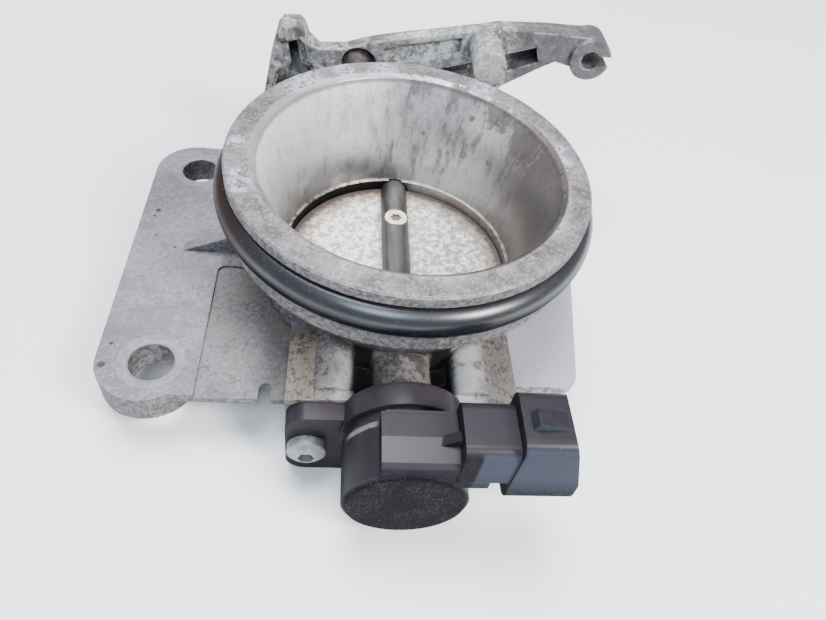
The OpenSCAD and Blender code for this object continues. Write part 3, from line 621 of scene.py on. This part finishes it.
# edges are lighter and bluish: partly rubbed, partly a painted highlight
colour = colour.tint(edge_wear(place, 0.5) * scuff.ramp(0.4, 0.6) * 0.4, (0.085, 0.09, 0.11))
warm = y.ramp(-62.0, -50.0) * dust.ramp(0.35, 0.6)
colour = colour.tint(warm * 0.4, (0.036, 0.024, 0.026))
face_scratches = y.ramp(front_face + 0.7, front_face + 0.1) * texture.ramp(0.55, 0.62)
face_scratches = face_scratches * dust.ramp(0.38, 0.56)
# the front face is darker: partly its own finish, partly painted shade
colour = colour.tint(y.ramp(front_face + 0.6, front_face + 0.2) * 0.7, (0.006, 0.0055, 0.006))
colour = colour.tint(face_scratches * 0.6, (0.07, 0.066, 0.066))
upward = facing(place, (0, -0.35, 0.94))
in_shade = upward.ramp(0.4, -0.2) * x.ramp(plug_from, plug_from - 7.0)
colour = colour.tint(in_shade * 0.5, (0.006, 0.005, 0.006))
# the plug's front faces are painted bluish and lighter towards the top: a painted reflection
plug_front_painted_reflection = x.ramp(plug_from, plug_from + 1.0) * facing(place, (0, -1, 0)).ramp(0.5, 0.9)
plug_front_painted_reflection = plug_front_painted_reflection * z.ramp(13.0, 25.0)
colour = colour.tint(plug_front_painted_reflection * 0.8, (0.05, 0.057, 0.078))
# a pale strip along the drum beside the block is a painted highlight
rubbing_and_painted_highlight = abs(y - highlight_line).ramp(0.8, 0.4) * x.ramp(-13.2, -11.6) * x.ramp(-6.0, -7.6)
colour = colour.tint(rubbing_and_painted_highlight * scuff.ramp(0.3, 0.5) * 0.7, (0.2, 0.19, 0.185))
rough = 0.36 + dust * 0.16 + scuff.ramp(0.55, 0.7) * 0.16
relief = texture * 0.7 + scuff * 0.5
finish_material(surface, colour, rough, 0.0, relief, depth=0.055, soft_edge=1.4)
# only a coat shines, and only on faces that look up
feed(surface, "Specular IOR Level", 0.01)
feed(surface, "Coat Roughness", 0.34)
polish = upward.ramp(0.1, 0.75) * y.ramp(front_face + 0.5, front_face + 1.1)
polish = polish * (0.8 - dust * 0.45) * (1 - plug_front_painted_reflection * 0.75)
feed(surface, "Coat Weight", polish)
for node in ("sensor_base", "sensor_housing"):
    dress(node, material)

# ------------------------------------------------------------------ sensor's inner pieces
# The shaft's tang turns a nylon rotor with a brass wiper, which slides on a printed track. Three
# brass terminals lead from the track into the plug's shroud. The return spring's bush is moulded
# in the same nylon as the rotor.

material, surface, place, colour = start_material("natural nylon", (0.62, 0.58, 0.49))
cloud = place.noise(3.0, 3.0, 0.6)
colour = colour.tint(cloud.ramp(0.4, 0.7) * 0.5, (0.5, 0.44, 0.33))
# recesses are painted dark brown, as shade
colour = colour.tint(crevice(place, 2.0) * 0.6, (0.2, 0.15, 0.1))
finish_material(surface, colour, 0.45 + cloud * 0.15, 0.0, cloud, depth=0.04, soft_edge=0.3)
for node in ("sensor_rotor", "spring_bush"):
    dress(node, material)

material, surface, place, colour = start_material("contact brass", (0.62, 0.44, 0.17))
bloomed = place.noise(1.5, 3.0, 0.6)
colour = colour.tint(bloomed.ramp(0.45, 0.7) * 0.5, (0.45, 0.3, 0.12))
finish_material(surface, colour, 0.3 + bloomed * 0.2, 0.9, bloomed, depth=0.01, soft_edge=0.08)
for node in ("sensor_wiper", "sensor_terminals"):
    dress(node, material)

material, surface, place, colour = start_material("printed track", (0.02, 0.04, 0.022))
shaft_height = 9.7
track_from, track_gap, track_to = 6.6, 8.2, 9.8
x, rise = place.along("x"), place.along("z") - shaft_height
from_shaft = (x * x + rise * rise) ** 0.5
paths = 1 - abs(from_shaft - track_gap).ramp(0.2, 0.1)
paths = paths * from_shaft.ramp(track_from, track_from + 0.1)
paths = paths * from_shaft.ramp(track_to, track_to - 0.1)
speckle = place.noise(0.4, 2.0, 0.6)
colour = colour.tint(paths, (0.012, 0.012, 0.013))
finish_material(surface, colour, 0.4 + speckle * 0.2, 0.0, speckle, depth=0.01, soft_edge=0.08)
dress("sensor_track", material)

# ------------------------------------------------------------------ zinc plated fasteners
# The sensor's two screws with their sleeves, the bracket's bolts, the lever's nut and washer and
# the idle stop. All are zinc plated steel gone dull and chalky.

material, surface, place, colour = start_material("dull zinc", (0.26, 0.27, 0.285))
chalk = place.noise(1.4, 5.0, 0.7)
rust = place.noise(4.5, 4.0, 0.6, shift=60.0)
colour = colour.tint(chalk.ramp(0.45, 0.62) * 0.65, (0.37, 0.38, 0.4))
colour = colour.tint(chalk.ramp(0.44, 0.32) * 0.6, (0.12, 0.115, 0.11))
colour = colour.tint(rust.ramp(0.6, 0.75) * 0.5, (0.24, 0.15, 0.09))
# recesses are painted near black, as shade
colour = colour.tint(crevice(place, 1.0) * 0.92, (0.02, 0.016, 0.014))
finish_material(surface, colour, 0.45 + chalk * 0.25, 0.7, chalk, depth=0.06, soft_edge=0.25)
for node in (
    "sensor_screws", "sensor_sleeves", "bracket_bolts", "lever_washer", "lever_nut",
    "idle_stop_screw", "idle_stop_locknut",
):
    dress(node, material)

# ------------------------------------------------------------------ cable bracket
# A bracket cast in aluminium and bolted to two columns behind the bell. Its rough skin has gone
# a mottled grey, with rubbed edges, painted shade under its top edge and painted black shade in
# its pockets.

material, surface, place, colour = start_material("rough cast bracket", (0.2, 0.2, 0.2))
skin = (place.noise(4.5, 6.0, 0.7) - 0.5) * 1.3 + 0.5
lumps = (place.noise(1.3, 4.0, 0.7, shift=25.0) - 0.5) * 1.4 + 0.5
sand = place.noise(0.5, 2.0, 0.6, shift=55.0)
x = place.along("x")
colour = colour.tint(skin.ramp(0.42, 0.54) * 0.75, (0.28, 0.285, 0.29))
colour = colour.tint(lumps.ramp(0.51, 0.6) * skin.ramp(0.4, 0.55) * 0.8, (0.56, 0.57, 0.58))
colour = colour.tint(skin.ramp(0.46, 0.38) * 0.7, (0.06, 0.054, 0.05))
colour = colour.tint(sand.ramp(0.46, 0.34) * 0.45, (0.06, 0.05, 0.046))
# faces that don't look up are painted darker in patches towards the left, as shade below the top
# rim
patchy_painted_shade = place.noise(9.0, 3.0, 0.6, shift=80.0).ramp(0.45, 0.58)
under_edge = facing(place, (0, 0, 1)).ramp(0.75, 0.2)
colour = colour.tint(under_edge * x.ramp(24.0, 14.0) * patchy_painted_shade * 0.4, (0.06, 0.051, 0.046))
top_edge = facing(place, (0, -0.2, 0.98)).ramp(0.6, 0.95)
colour = colour.tint(top_edge * skin.ramp(0.55, 0.42) * 0.45, (0.13, 0.125, 0.125))
colour = colour.tint(x.ramp(29.0, 37.0) * 0.8, (0.08, 0.071, 0.078))
colour = colour.tint(edge_wear(place, 0.7) * skin.ramp(0.4, 0.55) * 0.7, (0.6, 0.61, 0.62))
colour = colour.tint(place.near((10.0, 48.0, 43.0), 13.0, skin) * 0.8, (0.66, 0.68, 0.69))
colour = colour.tint(place.near((24.0, 40.0, 47.0), 5.0, lumps) * 0.45, (0.7, 0.71, 0.73))
# pockets and corners are painted black, as shade
colour = colour.tint(crevice(place, 5.0), (0.012, 0.009, 0.009))
rough = 0.5 + skin * 0.3
finish_material(surface, colour, rough, 0.45, sand * 0.5 + lumps, depth=0.24, soft_edge=1.2)
dress("cable_bracket", material)

# ------------------------------------------------------------------ bracket pin
# A short steel pin with a domed end, pressed into a recess of the bracket's arm. Oil has
# darkened it, and it is neither plated nor painted.

material, surface, place, colour = start_material("oiled pin steel", (0.17, 0.13, 0.14))
film = place.noise(2.0, 4.0, 0.6)
colour = colour.tint(film.ramp(0.45, 0.6) * 0.7, (0.27, 0.235, 0.24))
finish_material(surface, colour, 0.55 + film * 0.2, 0.4, film, depth=0.15, soft_edge=0.3)
dress("bracket_pin", material)

# ------------------------------------------------------------------ throttle lever
# The lever is steel: a stop arm, a hub on the shaft's flats and a sector for the cable, pressed
# together and yellow passivated. Its edges are worn bare.

material, surface, place, colour = start_material("yellow passivated steel", (0.46, 0.40, 0.24))
sheen = place.noise(5.0, 4.0, 0.6)
scratch = place.noise(0.9, 3.0, 0.7, stretch=(0.3, 1, 1), shift=14.0)
colour = colour.tint(sheen.ramp(0.4, 0.65) * 0.6, (0.5, 0.46, 0.36))
colour = colour.tint(sheen.ramp(0.42, 0.3) * 0.5, (0.4, 0.27, 0.14))
colour = colour.tint(edge_wear(place, 0.3) * 0.6, (0.62, 0.6, 0.56))
# recesses are painted dark brown, as shade
colour = colour.tint(crevice(place, 2.0) * 0.7, (0.06, 0.045, 0.03))
finish_material(surface, colour, 0.36 + sheen * 0.2, 0.8, scratch, depth=0.03, soft_edge=0.25)
dress("throttle_lever", material)

# ------------------------------------------------------------------ return spring
# A torsion spring of hard drawn wire, wound on its nylon bush. One leg rests on the body and the
# other is under the lever's arm, so that it winds up as the lever turns.

spring_material, surface, place, colour = start_material("drawn spring wire", (0.23, 0.225, 0.22))
drawn = place.noise(0.8, 3.0, 0.6)
colour = colour.tint(drawn.ramp(0.45, 0.7) * 0.6, (0.36, 0.35, 0.34))
finish_material(surface, colour, 0.34 + drawn * 0.2, 0.85, drawn, depth=0.02, soft_edge=0.1)

wire_radius = 0.00085
wire_sides = 14
coil_radius = 0.0096
coil_from, coil_to = 0.0489, 0.0556
coil_turns = 4
coil_steps = 56
end_reach = 0.0012
shaft_z = 0.0097
body_leg = ((-0.007, 0, 0.0), (-0.0075, 0, 0.0005))
lever_leg = (
    (0.004, 0.0006, 0.0004), (0.0042, 0.0009, 0.0026), (0.0043, 0.0011, 0.0023),
    (0.0030, 0.0002, 0.0001),
)
weld_gap = 0.00001
deselect()
bpy.ops.mesh.primitive_circle_add(
    vertices=wire_sides, radius=wire_radius, fill_type="NGON",
    location=(0, coil_from, shaft_z - coil_radius), rotation=(0, math.pi / 2, 0),
)
spring = bpy.context.object
spring.name = "wound_return_spring"
bpy.ops.object.transform_apply(location=True, rotation=True, scale=True)
spring.data.transform(Matrix.Translation((0, 0, -shaft_z)))
bpy.ops.object.mode_set(mode="EDIT")
bpy.ops.mesh.select_all(action="SELECT")
bpy.ops.mesh.delete(type="ONLY_FACE")
bpy.ops.object.mode_set(mode="OBJECT")
apply_modifier(
    spring, "SCREW", axis="Y", iterations=coil_turns, angle=-2 * math.pi,
    screw_offset=(coil_to - coil_from) / coil_turns, steps=coil_steps, render_steps=coil_steps,
    use_smooth_shade=True, use_merge_vertices=False,
)
spring.data.transform(Matrix.Translation((0, 0, shaft_z)))
bpy.ops.object.mode_set(mode="EDIT")


def pick_end(piece, y_place):
    """Selects the open ring of edges at the coil's end near y_place."""
    sheet = bmesh.from_edit_mesh(piece.data)
    bpy.ops.mesh.select_mode(type="EDGE")
    bpy.ops.mesh.select_all(action="DESELECT")
    for edge in sheet.edges:
        if edge.is_boundary and abs(edge.verts[0].co.y - y_place) < end_reach:
            edge.select_set(True)
    bmesh.update_edit_mesh(piece.data)


for end, leg in ((coil_from, body_leg), (coil_to, lever_leg)):
    pick_end(spring, end)
    for step in leg:
        bpy.ops.mesh.extrude_edges_move(TRANSFORM_OT_translate={"value": step})
    bpy.ops.mesh.edge_face_add()
bpy.ops.mesh.select_all(action="SELECT")
bpy.ops.mesh.remove_doubles(threshold=weld_gap)
bpy.ops.mesh.normals_make_consistent(inside=False)
bpy.ops.object.mode_set(mode="OBJECT")
settle(spring, spring_material, smooth_angle=60)
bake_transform(spring)
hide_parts("return_spring")

# ------------------------------------------------------------------ floor and studio light
# A pale floor just under the lowest point. A big light hangs above and a little behind, a warmer
# key stands in front on the right, and a cool light stands in front like a window.

floor_size = 3.0
floor_gap = 0.0005
deselect()
bpy.ops.mesh.primitive_plane_add(size=floor_size, location=(0, 0, cad_low[2] - floor_gap))
floor = bpy.context.object
floor.name = "floor"
material, surface, place, colour = start_material("pale floor", (0.86, 0.86, 0.86))
haze = place.noise(120.0, 2.0, 0.5)
colour = colour.tint(haze.ramp(0.3, 0.7) * 0.3, (0.89, 0.89, 0.89))
finish_material(surface, colour, 0.75 + haze * 0.1, 0.0)
floor.data.materials.append(material)
floor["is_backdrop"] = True


def soft_light(name, at, aim, size, power, tint):
    """A square area light at a place, in metres, that looks at its aim."""
    lamp = bpy.data.objects.new(name, bpy.data.lights.new(name, "AREA"))
    bpy.context.scene.collection.objects.link(lamp)
    lamp.data.size = size
    lamp.data.energy = power
    lamp.data.color = tint
    lamp.location = at
    lamp.rotation_euler = (Vector(aim) - Vector(at)).to_track_quat("-Z", "Y").to_euler()


soft_light(
    "overhead", at=(-0.1, 0.15, 0.9), aim=(0, 0, 0), size=0.45, power=15.5,
    tint=(0.93, 0.96, 1.0),
)
soft_light(
    "key", at=(0.5, -0.42, 0.62), aim=(0, 0, 0.03), size=0.25, power=13.0,
    tint=(1.0, 0.98, 0.95),
)
soft_light(
    "front_sky", at=(-0.15, -0.6, 0.85), aim=(0, 0, 0.02), size=0.4, power=7.0,
    tint=(0.68, 0.84, 1.0),
)
world = bpy.data.worlds.new("studio")
world.use_nodes = True
sky = world.node_tree.nodes["Background"]
sky.inputs["Color"].default_value = (0.93, 0.95, 1.0, 1)
sky.inputs["Strength"].default_value = 0.55
bpy.context.scene.world = world

low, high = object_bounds()
